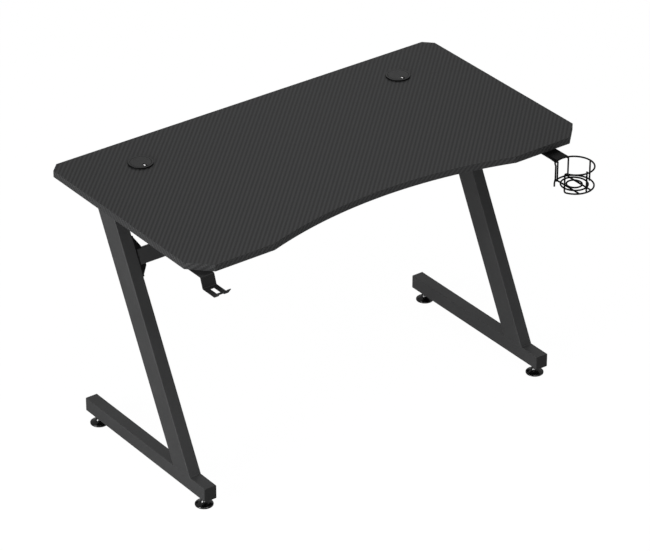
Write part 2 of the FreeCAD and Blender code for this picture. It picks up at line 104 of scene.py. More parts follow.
def wear(piece, finish):
    """Gives a piece its finish."""
    piece.data.materials.clear()
    piece.data.materials.append(finish)


charcoal_coat = grained_finish("charcoal_coat", colour=(0.028, 0.0282, 0.0288), roughness=0.6, specular=0.5,
                               grain_size=0.0009, grain_depth=0.00006, drift_size=0.09, drift=0.10)
for side in ("left", "right"):
    for tube in ("foot_bar", "post", "top_bar"):
        wear(solids[f"{side}_{tube}"], charcoal_coat)

# Weld seams: where a post meets its bars it is seam welded across the front and the back.
# The seam is a low rippled bead of steel, coated over with the rest of the leg.


def stand_alone():
    """Leaves edit mode with nothing selected."""
    if bpy.context.object and bpy.context.object.mode != "OBJECT":
        bpy.ops.object.mode_set(mode="OBJECT")
    bpy.ops.object.select_all(action="DESELECT")


def take_up(piece):
    """Leaves edit mode with only this piece selected."""
    stand_alone()
    piece.select_set(True)
    bpy.context.view_layer.objects.active = piece


def named(name):
    """Names the piece just added, with its place moved into its mesh."""
    bpy.ops.object.transform_apply(location=True, rotation=True, scale=True)
    piece = bpy.context.object
    piece.name = name
    piece.data.name = name
    return piece


def pick(piece, kind, test):
    """Edit mode with only the corners, edges or faces chosen that pass the test."""
    take_up(piece)
    bpy.ops.object.mode_set(mode="EDIT")
    bpy.ops.mesh.select_mode(type=kind)
    bpy.ops.mesh.select_all(action="DESELECT")
    bpy.ops.object.mode_set(mode="OBJECT")
    corners = piece.data.vertices
    if kind == "VERT":
        for corner in corners:
            corner.select = test(corner.co)
    if kind == "EDGE":
        for edge in piece.data.edges:
            edge.select = test(*(corners[i].co for i in edge.vertices))
    if kind == "FACE":
        for face in piece.data.polygons:
            face.select = test(face.center, face.normal)
    bpy.ops.object.mode_set(mode="EDIT")


def whole(*_):
    """The test that every corner, edge and face passes."""
    return True


def extrude(step):
    """Runs what is chosen on by one straight step."""
    bpy.ops.mesh.extrude_region_move(TRANSFORM_OT_translate={"value": step})


def clean(piece):
    """Merges doubles and turns every face outwards."""
    pick(piece, "FACE", whole)
    bpy.ops.mesh.remove_doubles(threshold=0.000004)
    bpy.ops.mesh.normals_make_consistent(inside=False)
    take_up(piece)


def smooth(piece, angle):
    """Smooths the shallow edges and keeps the flat faces flat."""
    bpy.ops.object.shade_smooth_by_angle(angle=math.radians(angle))
    even = piece.modifiers.new("even", "WEIGHTED_NORMAL")
    even.keep_sharp = True
    bpy.ops.object.modifier_apply(modifier="even")


def tidy(piece, angle=35):
    """Cleans a finished mesh and smooths it."""
    clean(piece)
    smooth(piece, angle)


def copied(piece, name, move=(0, 0, 0), turn=(0, 0, 0), scale=(1, 1, 1)):
    """A copy with its own mesh, set in its place."""
    take_up(piece)
    bpy.ops.object.duplicate()
    twin = bpy.context.object
    twin.location = move
    twin.rotation_euler = turn
    twin.scale = scale
    return named(name)


def joined(pieces, name):
    """Several copies of one fixing as one piece."""
    stand_alone()
    for piece in pieces:
        piece.select_set(True)
    bpy.context.view_layer.objects.active = pieces[0]
    bpy.ops.object.join()
    return named(name)


def belongs(piece, finish, body, slot, *stands_for):
    """Gives a piece its finish, the body it moves with and the solids it stands for."""
    wear(piece, finish)
    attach(piece, body)
    if stands_for:
        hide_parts(*stands_for)


lean = math.radians(27.4)
post_deep = 0.065
post_reach = post_deep / math.cos(lean)
foot_low, foot_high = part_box("right_foot_bar")
post_low, post_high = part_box("right_post")
top_low, top_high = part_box("right_top_bar")
leg_x = (foot_low.x + foot_high.x) / 2
bead_neck = 0.00147
bead_ripples = 14
ripple_swells = (1.45, 0.94, 1 / 1.363)
bead_end_gap = 0.002
bead_length = foot_high.x - foot_low.x - 2 * bead_end_gap
bead_step = bead_length / bead_ripples / len(ripple_swells)
stand_alone()
bpy.ops.mesh.primitive_circle_add(vertices=12, radius=bead_neck, fill_type="NGON",
                                  location=(-bead_length / 2, 0, 0), rotation=(0, math.pi / 2, 0))
bead = named("weld_bead")
pick(bead, "FACE", whole)
for ripple in range(bead_ripples):
    for swell in ripple_swells:
        extrude((bead_step, 0, 0))
        bpy.ops.transform.resize(value=(1, swell, swell))
tidy(bead, angle=60)
seams = [("foot_front", post_low.y, post_low.z), ("foot_back", post_low.y + post_reach, post_low.z),
         ("top_front", post_high.y - post_reach, post_high.z), ("top_back", post_high.y, post_high.z)]
beads = [copied(bead, f"{name}_bead", (sign * leg_x, y, z)) for sign in (-1, 1) for name, y, z in seams]
bpy.data.objects.remove(bead)
weld_seams = joined(beads, "leg_weld_seams")
belongs(weld_seams, charcoal_coat, "desk", "frame_paint")

# End caps: black moulded plugs pushed into the open ends of the bars.
# Each has a thin lip that covers the cut tube and a hollow plug with a press fit behind it.


def block(name, size, place):
    """A plain block of material, ready to be shaped or to cut with."""
    stand_alone()
    bpy.ops.mesh.primitive_cube_add(size=1, scale=size, location=place)
    return named(name)


cap_black = grained_finish("cap_black", colour=(0.006, 0.006, 0.0063), roughness=0.5, specular=0.65,
                           grain_size=0.0007, grain_depth=0.00005, drift_size=0.02, drift=0.12)
cap_low, cap_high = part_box("right_foot_front_cap")
lip = 0.0025
lip_corner = 0.002
lip_round = 0.0005
plug_inset = 0.0017
plug_depth = 0.014
plug_wall = 0.0018
plug_floor = 0.001
hair = 0.00001
square_on = 0.9
end_cap = block("end_cap", (cap_high.x - cap_low.x, lip, cap_high.z - cap_low.z), (0, lip / 2, 0))
pick(end_cap, "FACE", lambda middle, normal: normal.y > square_on)
bpy.ops.mesh.inset(thickness=plug_inset)
extrude((0, plug_depth, 0))
bpy.ops.mesh.inset(thickness=plug_wall)
extrude((0, plug_floor - plug_depth, 0))
pick(end_cap, "EDGE", lambda a, b: abs(a.y - b.y) > lip / 2 and max(a.y, b.y) < lip + hair)
bpy.ops.mesh.bevel(offset=lip_corner, segments=5)
pick(end_cap, "EDGE", lambda a, b: max(a.y, b.y) < hair)
bpy.ops.mesh.bevel(offset=lip_round, segments=3)
tidy(end_cap)
for side in ("left", "right"):
    for bar in ("foot", "top_bar"):
        for end in ("front", "back"):
            node = f"{side}_{bar}_{end}_cap"
            low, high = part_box(node)
            outer = low.y if end == "front" else high.y
            turn = 0 if end == "front" else math.pi
            plug = copied(end_cap, f"{side}_{bar}_{end}_plug",
                          ((low.x + high.x) / 2, outer, (low.z + high.z) / 2), (0, 0, turn))
            belongs(plug, cap_black, "desk", "end_cap_plastic", node)
bpy.data.objects.remove(end_cap)

# Levelling feet: glossy black moulded pads, bell shaped, that swivel on a threaded steel stud.
# The stud screws up into a flanged nut in the bar, so that the desk stands level on an uneven floor.


def spun(name, outline, steps=72):
    """Turned piece about Z: an outline of (radius, height) drawn corner by corner and spun round."""
    start = Vector((outline[0][0], 0, outline[0][1]))
    stand_alone()
    bpy.ops.mesh.primitive_plane_add(size=0.001, location=start)
    piece = named(name)
    first = piece.data.vertices[0].co.copy()
    pick(piece, "VERT", lambda corner: (corner - first).length > hair)
    bpy.ops.mesh.delete(type="VERT")
    bpy.ops.mesh.select_all(action="SELECT")
    bpy.ops.transform.translate(value=start - first)
    for (r, z), (next_r, next_z) in zip(outline, outline[1:]):
        bpy.ops.mesh.extrude_vertices_move(TRANSFORM_OT_translate={"value": (next_r - r, 0, next_z - z)})
    bpy.ops.mesh.select_all(action="SELECT")
    bpy.ops.mesh.spin(steps=steps, angle=2 * math.pi, center=(0, 0, 0), axis=(0, 0, 1))
    return piece


gloss_black = grained_finish("gloss_black", colour=(0.0012, 0.0012, 0.0013), roughness=0.13, specular=0.8,
                             grain_size=0.004, grain_depth=0.00002, drift_size=0.02, drift=0.15)
pad_outline = [(0, 0.0006), (0.0130, 0.0006), (0.0140, 0), (0.0230, 0), (0.0236, 0.0003), (0.0238, 0.0009),
               (0.0238, 0.0029), (0.0235, 0.0036), (0.0228, 0.0043), (0.0218, 0.0050), (0.0200, 0.0057),
               (0.0178, 0.0066), (0.0158, 0.0076), (0.0140, 0.0088), (0.0123, 0.0103), (0.0109, 0.0120),
               (0.0098, 0.0138), (0.0089, 0.0158), (0.0083, 0.0178), (0.0079, 0.0192), (0.0074, 0.0198),
               (0.0067, 0.0200), (0.0046, 0.0200), (0.0042, 0.0197), (0.0042, 0.0111), (0.0063, 0.0111),
               (0.0063, 0.0080), (0, 0.0080)]
pad = spun("pad", pad_outline)
tidy(pad, angle=30)
zinc = grained_finish("zinc", colour=(0.42, 0.42, 0.43), roughness=0.34, specular=0.5, metal=1,
                      grain_size=0.0012, grain_depth=0.00003, drift_size=0.006, drift=0.12)
thread_pitch = 0.00125
thread_root = 0.0034
thread_crest = 0.0040
crest_shares = (0.45, 0.55)
thread_start = 0.0120
thread_end = 0.0435
stud_top = 0.0450
stud_outline = [(0, 0.0080), (0.0056, 0.0080), (0.0060, 0.0084), (0.0060, 0.0104), (0.0056, 0.0108),
                (0.0036, 0.0108)]
height = thread_start
while height < thread_end:
    stud_outline.append((thread_root, height))
    stud_outline += [(thread_crest, height + thread_pitch * share) for share in crest_shares]
    height += thread_pitch
stud_outline += [(thread_root, height), (0.0030, stud_top), (0, stud_top)]
stud = spun("stud", stud_outline, steps=32)
tidy(stud, angle=30)
for side in ("left", "right"):
    for end in ("front", "back"):
        low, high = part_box(f"{side}_{end}_pad")
        centre = ((low.x + high.x) / 2, (low.y + high.y) / 2, 0)
        foot = copied(pad, f"{side}_{end}_foot", centre)
        belongs(foot, gloss_black, f"{side}_{end}_pad", "foot_plastic", f"{side}_{end}_pad")
        screw = copied(stud, f"{side}_{end}_thread", centre)
        belongs(screw, zinc, f"{side}_{end}_stud", "zinc_steel", f"{side}_{end}_stud")
bpy.data.objects.remove(pad)
bpy.data.objects.remove(stud)
wear(solids["foot_nuts"], zinc)

# Cross beam: one rectangular tube between the posts, tilted with them, that keeps the legs upright.
# Its ends are welded to steel plates with a flared rib above and below, bolted to the posts.


def combine(piece, tool, operation):
    """Adds a tool's shape to a piece or cuts it out, and removes the tool."""
    take_up(piece)
    change = piece.modifiers.new("change", "BOOLEAN")
    change.operation = operation
    change.solver = "EXACT"
    change.object = tool
    bpy.ops.object.modifier_apply(modifier="change")
    bpy.data.objects.remove(tool)


def rounded(piece, radius, segments, angle):
    """Takes the sharpness off the edges that are steeper than an angle."""
    take_up(piece)
    rounding = piece.modifiers.new("rounding", "BEVEL")
    rounding.width = radius
    rounding.segments = segments
    rounding.angle_limit = math.radians(angle)
    bpy.ops.object.modifier_apply(modifier="rounding")


wear(solids["cross_beam"], charcoal_coat)
beam_low, beam_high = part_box("cross_beam")
inner_x = beam_high.x
beam_tilt = Vector((0, math.sin(lean), math.cos(lean)))
beam_behind = Vector((0, math.cos(lean), -math.sin(lean)))
plate = 0.003
plate_deep = 0.056
plate_up, plate_down = 0.0555, 0.0495
plate_ahead = 0.0155
rib_front, rib_back = 0.003, 0.007
rib_reach = 0.0155
rib_root = 0.020
rib_tip = 0.025
beam_middle = (beam_low + beam_high) / 2 - beam_behind * plate_ahead
beam_middle.x = inner_x
bracket = block("bracket", (plate, plate_deep, plate_up + plate_down),
                (plate / 2, plate_deep / 2, (plate_up - plate_down) / 2))
for sign, end in ((1, plate_up), (-1, plate_down)):
    rib = block("rib", (rib_reach + plate / 2, rib_back - rib_front, end - rib_root),
                ((plate / 2 - rib_reach) / 2, (rib_front + rib_back) / 2, sign * (end + rib_root) / 2))
    pick(rib, "VERT", lambda corner: corner.x < 0 and abs(corner.z) > end - hair)
    bpy.ops.transform.translate(value=(0, 0, sign * (rib_tip - end)))
    combine(bracket, rib, "UNION")
rounded(bracket, radius=0.0006, segments=2, angle=30)
tidy(bracket)
# The end plates are near black, far darker than the charcoal coat of the beam they are welded to: a painted
# shade for the shade they sit in under the board, beside the post and the beam.
bracket_shade_black = grained_finish("bracket_shade_black", colour=(0.004, 0.004, 0.0042), roughness=0.5, specular=0.2,
                               grain_size=0.0009, grain_depth=0.00005, drift_size=0.03, drift=0.1)
bracket.location = beam_middle
bracket.rotation_euler = (-lean, 0, 0)
take_up(bracket)
bracket = named("right_end_plate")
left_bracket = copied(bracket, "left_end_plate", scale=(-1, 1, 1))
tidy(left_bracket)
belongs(bracket, bracket_shade_black, "desk", "bracket_paint", "right_beam_bracket")
belongs(left_bracket, bracket_shade_black, "desk", "bracket_paint", "left_beam_bracket")

# Beam bolts: four black button-head bolts at each end, turned with a hexagon key.
# They pass the end plate and bite into threaded inserts set in the wall of the post.


def cut_away(piece, cutter):
    """Takes the cutter's shape out of a piece."""
    combine(piece, cutter, "DIFFERENCE")


def round_bar(name, sides, radius, length, place):
    """A plain bar along Z, ready to be shaped or to cut with."""
    stand_alone()
    bpy.ops.mesh.primitive_cylinder_add(vertices=sides, radius=radius, depth=length, location=place)
    return named(name)


black_oxide = grained_finish("black_oxide", colour=(0.045, 0.045, 0.048), roughness=0.4, specular=0.5,
                             metal=0.85, grain_size=0.0006, grain_depth=0.00002, drift_size=0.004, drift=0.2)
bolt_outline = [(0, 0.0180), (0.0026, 0.0180), (0.0030, 0.0176), (0.0030, 0), (0.00525, 0),
                (0.00525, -0.0009), (0.0049, -0.0018), (0.0042, -0.0026), (0.0032, -0.0031),
                (0.0022, -0.0033), (0, -0.0033)]
key_radius = 0.0023
key_length = 0.004
key_middle = -0.0034
bolt_rise = 0.036
bolt_rows = (0.022, 0.046)
bolt = spun("bolt", bolt_outline, steps=36)
tidy(bolt, angle=40)
cut_away(bolt, round_bar("hexagon_key", 6, key_radius, key_length, (0, 0, key_middle)))
tidy(bolt, angle=40)
bolts = []
for sign in (-1, 1):
    for rise in (-bolt_rise, bolt_rise):
        for row in bolt_rows:
            seat = beam_middle + beam_tilt * rise + beam_behind * row
            bolts.append(copied(bolt, "beam_bolt_copy", (sign * inner_x, seat.y, seat.z),
                                (0, sign * math.pi / 2, 0)))
bpy.data.objects.remove(bolt)
beam_bolt_set = joined(bolts, "beam_bolt_set")
belongs(beam_bolt_set, black_oxide, "desk", "dark_screws", "beam_bolts")
wear(solids["beam_inserts"], zinc)

# Desktop core: an 18 mm chipboard with cut corners and a bowed front edge, drilled for two cable grommets.
# Its underside has a plain dark backing paper, which keeps the board from warping.


def sum_of(operation, first, second=None):
    """One arithmetic step in the finish at hand: each side is a socket or a number."""
    step = tree.nodes.new("ShaderNodeMath")
    step.operation = operation
    for socket, value in zip(step.inputs, (first, second)):
        if isinstance(value, (int, float)):
            socket.default_value = value
        elif value is not None:
            tree.links.new(value, socket)
    return step.outputs["Value"]


def colour_between(factor, first, second):
    """Goes from one colour to another in the finish at hand: each is a socket or a colour."""
    blend = tree.nodes.new("ShaderNodeMix")
    blend.data_type = "RGBA"
    tree.links.new(factor, blend.inputs["Factor"])
    for name, colour in (("A", first), ("B", second)):
        if isinstance(colour, tuple):
            blend.inputs[name].default_value = colour
        else:
            tree.links.new(colour, blend.inputs[name])
    return blend.outputs["Result"]


def axes_of(vector):
    """The X, Y and Z of a place or a direction in the finish at hand."""
    split = tree.nodes.new("ShaderNodeSeparateXYZ")
    tree.links.new(vector, split.inputs["Vector"])
    return split.outputs


dark_chip = (0.30, 0.20, 0.11, 1)
middle_chip = (0.42, 0.30, 0.18, 1)
pale_chip = (0.55, 0.42, 0.27, 1)
dark_paper = (0.016, 0.0155, 0.015, 1)
pale_paper = (0.026, 0.025, 0.024, 1)
chips_per_metre = 380
chip_stretch = (1, 0.45, 1.6)
mottles_per_metre = 160
chipboard, tree, shader, place = bare_finish("chipboard", specular=0.2)
shader.inputs["Roughness"].default_value = 0.8
stretch = tree.nodes.new("ShaderNodeMapping")
stretch.inputs["Scale"].default_value = chip_stretch
tree.links.new(place, stretch.inputs["Vector"])
chips = tree.nodes.new("ShaderNodeTexVoronoi")
chips.inputs["Scale"].default_value = chips_per_metre
tree.links.new(stretch.outputs["Vector"], chips.inputs["Vector"])
tone = tree.nodes.new("ShaderNodeValToRGB")
tone.color_ramp.elements[0].color = dark_chip
tone.color_ramp.elements[1].color = pale_chip
tone.color_ramp.elements.new(0.5).color = middle_chip
tree.links.new(chips.outputs["Color"], tone.inputs["Fac"])
mottle = tree.nodes.new("ShaderNodeTexNoise")
mottle.inputs["Scale"].default_value = mottles_per_metre
tree.links.new(place, mottle.inputs["Vector"])
paper = colour_between(mottle.outputs["Fac"], dark_paper, pale_paper)
facing = axes_of(tree.nodes.new("ShaderNodeNewGeometry").outputs["True Normal"])
underside = sum_of("LESS_THAN", facing["Z"], -square_on)
tree.links.new(colour_between(underside, tone.outputs["Color"], paper), shader.inputs["Base Color"])
emboss(tree, shader, chips.outputs["Distance"], depth=0.0002, strength=0.5)
wear(solids["desktop_core"], chipboard)

# Desktop foil: one thin foil pressed over the top and the edges, with a small radius along the top edge.
# It is printed and embossed with a carbon-look twill, and its edges show the same weave, made lighter there
# than on the top as painted light.


def between(factor, low, high):
    """Goes from one number to another as the factor goes from 0 to 1."""
    return sum_of("ADD", sum_of("MULTIPLY", factor, high - low), low)


def chosen(test, yes, no):
    """Takes the first where the test is 1 and the second where it is 0."""
    return sum_of("ADD", sum_of("MULTIPLY", test, yes), sum_of("MULTIPLY", sum_of("SUBTRACT", 1, test), no))


def within(steps):
    """Where a place lies in its own step of the weave, from -1 to 1."""
    return sum_of("SUBTRACT", sum_of("MULTIPLY", sum_of("FRACT", steps), 2), 1)


tow = 0.003635
twill_repeat = 4
twill_over = 1.5
facing_limit = 0.72
crown_height = 1.02
fibres_across = 14
fibres_along = 0.5
dark_tow = (0.002, 0.002, 0.0021, 1)
pale_tow = (0.049, 0.0493, 0.0503, 1)
warp_shade, weft_shade = 0.69, 0.31
crown_shades = (0.65, 1.1)
fibre_shades = (0.7, 1.3)
# Painted light: the edge faces take the weave in their own range of tone, lighter than on the top, for how
# the lamps catch the edges.
edge_light_shades = (0.2, 1.02)
foil_gloss = (0.5, 0.62)
fibre_height = 0.3
twill, tree, shader, place = bare_finish("twill_foil", specular=0.2)
axes = axes_of(place)
facing = axes_of(tree.nodes.new("ShaderNodeNewGeometry").outputs["True Normal"])
flat = sum_of("GREATER_THAN", sum_of("ABSOLUTE", facing["Z"]), facing_limit)
sideways = sum_of("GREATER_THAN", sum_of("ABSOLUTE", facing["X"]), facing_limit)
along = chosen(flat, axes["X"], chosen(sideways, axes["Y"], axes["X"]))
across = chosen(flat, axes["Y"], axes["Z"])
u = sum_of("DIVIDE", along, tow)
v = sum_of("DIVIDE", across, tow)
twill_step = sum_of("SUBTRACT", sum_of("FLOOR", u), sum_of("FLOOR", v))
warp = sum_of("LESS_THAN", sum_of("FLOORED_MODULO", twill_step, twill_repeat), twill_over)
crown_across = chosen(warp, within(u), within(v))
crown = sum_of("SQRT", sum_of("SUBTRACT", crown_height, sum_of("MULTIPLY", crown_across, crown_across)))
fibre_run = tree.nodes.new("ShaderNodeCombineXYZ")
for axis, steps, on_warp, on_weft in (("X", u, fibres_across, fibres_along),
                                      ("Y", v, fibres_along, fibres_across)):
    run = chosen(warp, sum_of("MULTIPLY", steps, on_warp), sum_of("MULTIPLY", steps, on_weft))
    tree.links.new(run, fibre_run.inputs[axis])
fibres = tree.nodes.new("ShaderNodeTexNoise")
fibres.inputs["Scale"].default_value = 1
fibres.inputs["Detail"].default_value = 1
tree.links.new(fibre_run.outputs["Vector"], fibres.inputs["Vector"])
fibre = fibres.outputs["Fac"]
weave_shade = sum_of("MULTIPLY", chosen(warp, warp_shade, weft_shade), between(crown, *crown_shades))
weave_shade = sum_of("MULTIPLY", weave_shade, between(fibre, *fibre_shades))
# Painted light on the edges: a lighter copy of the weave's tone for every face that is not flat.
painted_edge_light = between(weave_shade, *edge_light_shades)
twill_colour = colour_between(chosen(flat, weave_shade, painted_edge_light), dark_tow, pale_tow)
tree.links.new(twill_colour, shader.inputs["Base Color"])
tree.links.new(between(fibre, *foil_gloss), shader.inputs["Roughness"])
weave_height = sum_of("ADD", crown, sum_of("MULTIPLY", fibre, fibre_height))
emboss(tree, shader, weave_height, depth=0.00012, strength=0.5)


def thickened(piece, thickness, offset):
    """Gives a surface the thickness of its sheet: -1 puts it all inside, 0 half on each side."""
    take_up(piece)
    sheet = piece.modifiers.new("sheet", "SOLIDIFY")
    sheet.thickness = thickness
    sheet.offset = offset
    bpy.ops.object.modifier_apply(modifier="sheet")


foil_low, foil_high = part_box("desktop_foil")
ring_low, ring_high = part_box("right_grommet_ring")
grommet = (ring_low + ring_high) / 2
foil = 0.0004
foil_round = 0.0008
front_cut = 0.054
back_cut = 0.025
bay_half = 0.372
bay_deep = 0.0595
bay_radius = (bay_half ** 2 + bay_deep ** 2) / (2 * bay_deep)
hole_radius = 0.030
hole_margin = 0.0002
wall_below = 0.5
through = 0.1
desktop = block("desktop_skin", foil_high - foil_low, (foil_low + foil_high) / 2)
for sign in (-1, 1):
    for y, cut, outward in ((foil_low.y, front_cut, -1), (foil_high.y, back_cut, 1)):
        pick(desktop, "FACE", whole)
        bpy.ops.mesh.bisect(plane_co=(sign * (foil_high.x - cut), y, foil_low.z), plane_no=(sign, outward, 0),
                            use_fill=True, clear_outer=True)
bay_middle = (0, foil_low.y + bay_deep - bay_radius, foil_high.z)
cut_away(desktop, round_bar("bay", 720, bay_radius, through, bay_middle))
pick(desktop, "EDGE", lambda a, b: min(a.z, b.z) > foil_high.z - hair)
bpy.ops.mesh.bevel(offset=foil_round, segments=4)
for sign in (-1, 1):
    hole_middle = (sign * grommet.x, grommet.y, foil_high.z)
    cut_away(desktop, round_bar("grommet_hole", 128, hole_radius, through, hole_middle))


def bare_of_foil(middle, normal):
    """The underside and the walls of the grommet holes, which the foil doesn't cover."""
    off_hole = math.hypot(abs(middle.x) - grommet.x, middle.y - grommet.y)
    in_hole = abs(normal.z) < wall_below and off_hole < hole_radius + hole_margin
    return normal.z < -square_on or in_hole


pick(desktop, "FACE", bare_of_foil)
bpy.ops.mesh.delete(type="FACE")
clean(desktop)
thickened(desktop, foil, offset=-1)
smooth(desktop, angle=25)
belongs(desktop, twill, "desk", "carbon_foil", "desktop_foil")

# Top bar screws: pan-head screws driven up through the top wall of each bar into the chipboard.
# Their heads sit inside the tube, under the holes that let the screwdriver in.
screw_radius = 0.0025
screw_core = 0.0019
screw_pitch = 0.0018
screw_taper = 0.0110
screw_shank = 0.0020
screw_outline = [(0, 0.0135), (0.0008, 0.0132), (screw_radius, screw_taper)]
height = screw_taper
while height > screw_shank:
    screw_outline += [(screw_core, height - screw_pitch / 2), (screw_radius, height - screw_pitch)]
    height -= screw_pitch
screw_outline += [(screw_radius, 0), (0.0046, 0), (0.0046, -0.0010), (0.0043, -0.0018), (0.0036, -0.0024),
                  (0.0026, -0.0026), (0, -0.0026)]
recess_long = 0.0050
recess_wide = 0.0011
recess_deep = 0.0032
recess_middle = -0.0026
board_screw = spun("board_screw", screw_outline, steps=28)
tidy(board_screw, angle=40)
for wide, deep in ((recess_long, recess_wide), (recess_wide, recess_long)):
    cut_away(board_screw, block("cross_recess", (wide, deep, recess_deep), (0, 0, recess_middle)))
tidy(board_screw, angle=40)


def screw_set(name, seats, node):
    """One set of screws at their seats, as one piece."""
    copies = [copied(board_screw, "board_screw_copy", seat) for seat in seats]
    belongs(joined(copies, name), black_oxide, "desk", "dark_screws", node)


bar_x = (top_low.x + top_high.x) / 2
bar_front = top_low.y - lip
bar_length = top_high.y - top_low.y + 2 * lip
bar_wall = 0.0015
bar_screw_shares = (0.08, 0.50, 0.92)
screw_set("top_bar_screw_set", [(sign * bar_x, bar_front + share * bar_length, top_high.z - bar_wall)
                                for sign in (-1, 1) for share in bar_screw_shares], "top_bar_screws")

# Cable grommets: a moulded ring pressed into each hole, with a flange that stands on the board.
# A loose cap lies on a ledge in it and turns, with one rounded notch for the cables.
grommet_grey = grained_finish("grommet_grey", colour=(0.004, 0.004, 0.0042), roughness=0.3, specular=0.1,
                              grain_size=0.0006, grain_depth=0.00004, drift_size=0.01, drift=0.10)
ring_outline = [(0.0273, -0.0150), (0.0298, -0.0150), (0.0298, 0), (0.0325, 0), (0.0325, 0.0034),
                (0.0323, 0.0038), (0.0319, 0.0040), (0.0279, 0.0040), (0.0275, 0.0039), (0.0274, 0.0035),
                (0.0274, 0.0010), (0.0185, 0.0010), (0.0185, -0.0010), (0.0273, -0.0010), (0.0273, -0.0150)]
cover_radius = 0.0270
cover_thick = 0.0030
cover_middle = 0.0025
notch_half = 0.00325
notch_in = 0.01525
notch_run = 0.0200
notch_middle = (0, -notch_in - notch_run / 2, 0)
ring = spun("ring", ring_outline, steps=96)
tidy(ring)
cover = round_bar("cover", 128, cover_radius, cover_thick, (0, 0, cover_middle))
cut_away(cover, round_bar("notch_end", 32, notch_half, through, (0, -notch_in, 0)))
cut_away(cover, block("notch_sides", (2 * notch_half, notch_run, through), notch_middle))
rounded(cover, radius=0.0004, segments=3, angle=40)
tidy(cover)
for side, sign in (("left", -1), ("right", 1)):
    centre = (sign * grommet.x, grommet.y, foil_high.z)
    cable_ring = copied(ring, f"{side}_cable_ring", centre)
    belongs(cable_ring, grommet_grey, "desk", "grommet_plastic", f"{side}_grommet_ring")
    cable_cover = copied(cover, f"{side}_cable_cover", centre)
    belongs(cable_cover, grommet_grey, f"{side}_cap", "grommet_plastic", f"{side}_grommet_cap")
bpy.data.objects.remove(ring)
bpy.data.objects.remove(cover)

# Headphone hook: one strap of steel sheet bent three times, screwed under the front left corner.
# It has a slot in its tongue and a gap in its turned-up lip, and is powder coated matt black.


def blank(name, wide, deep, place):
    """A flat blank of sheet, ready to be bent."""
    stand_alone()
    bpy.ops.mesh.primitive_plane_add(size=1, location=place)
    bpy.context.object.scale = (wide, deep, 1)
    return named(name)


def punch(name, size, place, corner, segments):
    """A punch with rounded corners, to cut a hole through the sheet."""
    tool = block(name, size, place)
    pick(tool, "EDGE", lambda a, b: abs(a.z - b.z) > hair)
    bpy.ops.mesh.bevel(offset=corner, segments=segments)
    return tool


hook_black = grained_finish("hook_black", colour=(0.0095, 0.0095, 0.0098), roughness=0.48, specular=0.35,
                            grain_size=0.0009, grain_depth=0.00005, drift_size=0.03, drift=0.10)
hook_low, hook_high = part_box("headphone_hook")
hook_x = (hook_low.x + hook_high.x) / 2
hook_sheet = 0.0025
hook_ahead = 0.0001
drop_out, drop_down = 0.0095, 0.0274
tongue = 0.048
hook_lip_out, hook_lip_up = 0.0115, 0.015
drop_bend = 0.0021
hook_lip_bend = 0.0015
slot_size = (0.012, 0.030, 0.02)
slot_start = 0.0103
slot_corner = 0.0016
gap_size = (0.017, 0.030, 0.05)
gap_into_tongue = 0.0035
gap_corner = 0.0012
hook_screw_insets = (0.014, 0.040)
board_front = foil_low.y
bend_y = board_front - hook_ahead
strap_z = hook_high.z - hook_sheet / 2
tongue_z = strap_z - drop_down
tongue_back = bend_y - drop_out
tongue_front = tongue_back - tongue
hook = blank("headphone_strap", hook_high.x - hook_low.x, hook_high.y - bend_y,
             (hook_x, (hook_high.y + bend_y) / 2, strap_z))
pick(hook, "EDGE", lambda a, b: max(a.y, b.y) < bend_y + hair)
extrude((0, -drop_out, -drop_down))
extrude((0, -tongue, 0))
extrude((0, -hook_lip_out, hook_lip_up))
for y, z, bend_leg in ((bend_y, strap_z, drop_bend), (tongue_back, tongue_z, drop_bend),
                       (tongue_front, tongue_z, hook_lip_bend)):
    pick(hook, "EDGE", lambda a, b: all(max(abs(end.y - y), abs(end.z - z)) < hair for end in (a, b)))
    bpy.ops.mesh.bevel(offset=bend_leg, segments=6)
thickened(hook, hook_sheet, offset=0)
slot_middle = (hook_x, tongue_back - slot_start - slot_size[1] / 2, tongue_z)
cut_away(hook, punch("slot_tool", slot_size, slot_middle, slot_corner, segments=5))
gap_middle = (hook_x, tongue_front + gap_into_tongue - gap_size[1] / 2, tongue_z)
cut_away(hook, punch("notch_tool", gap_size, gap_middle, gap_corner, segments=4))
rounded(hook, radius=0.0004, segments=2, angle=45)
tidy(hook)
belongs(hook, hook_black, "desk", "hook_paint", "headphone_hook")
hook_edge = board_front + front_cut - (hook_x - foil_low.x)
screw_set("hook_screw_set", [(hook_x, hook_edge + inset, hook_high.z - hook_sheet)
                             for inset in hook_screw_insets], "hook_screws")

# Cup holder arm: a channel of folded steel sheet, screwed under the front right of the board.
# Its front end is cut to the curve of the wire basket, which is welded to it.
satin_black = grained_finish("satin_black", colour=(0.003, 0.003, 0.0031), roughness=0.4, specular=0.05,
                             grain_size=0.0012, grain_depth=0.00003, drift_size=0.03, drift=0.12)
arm_low, arm_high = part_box("cup_arm")
arm_x = (arm_low.x + arm_high.x) / 2
arm_sheet = 0.002
arm_bend = 0.0026
arm_screw_insets = (0.016, 0.052)
wire = 0.0022
rim = 0.0495
weld_gap = 0.0001
basket_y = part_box("cup_rim_wire")[0].y + rim + wire
arm = blank("cup_bracket", arm_high.x - arm_low.x, arm_high.y - basket_y,
            (arm_x, (basket_y + arm_high.y) / 2, arm_high.z))
pick(arm, "EDGE", lambda a, b: abs(a.x - b.x) < hair)
bpy.ops.mesh.extrude_edges_move(TRANSFORM_OT_translate={"value": (0, 0, arm_low.z - arm_high.z)})
pick(arm, "EDGE", lambda a, b: abs(a.x - b.x) < hair and min(a.z, b.z) > arm_high.z - hair)
bpy.ops.mesh.bevel(offset=arm_bend, segments=5)
tidy(arm)
thickened(arm, arm_sheet, offset=-1)
cut_away(arm, round_bar("basket_round", 160, rim + wire + weld_gap, through, (arm_x, basket_y, arm_high.z)))
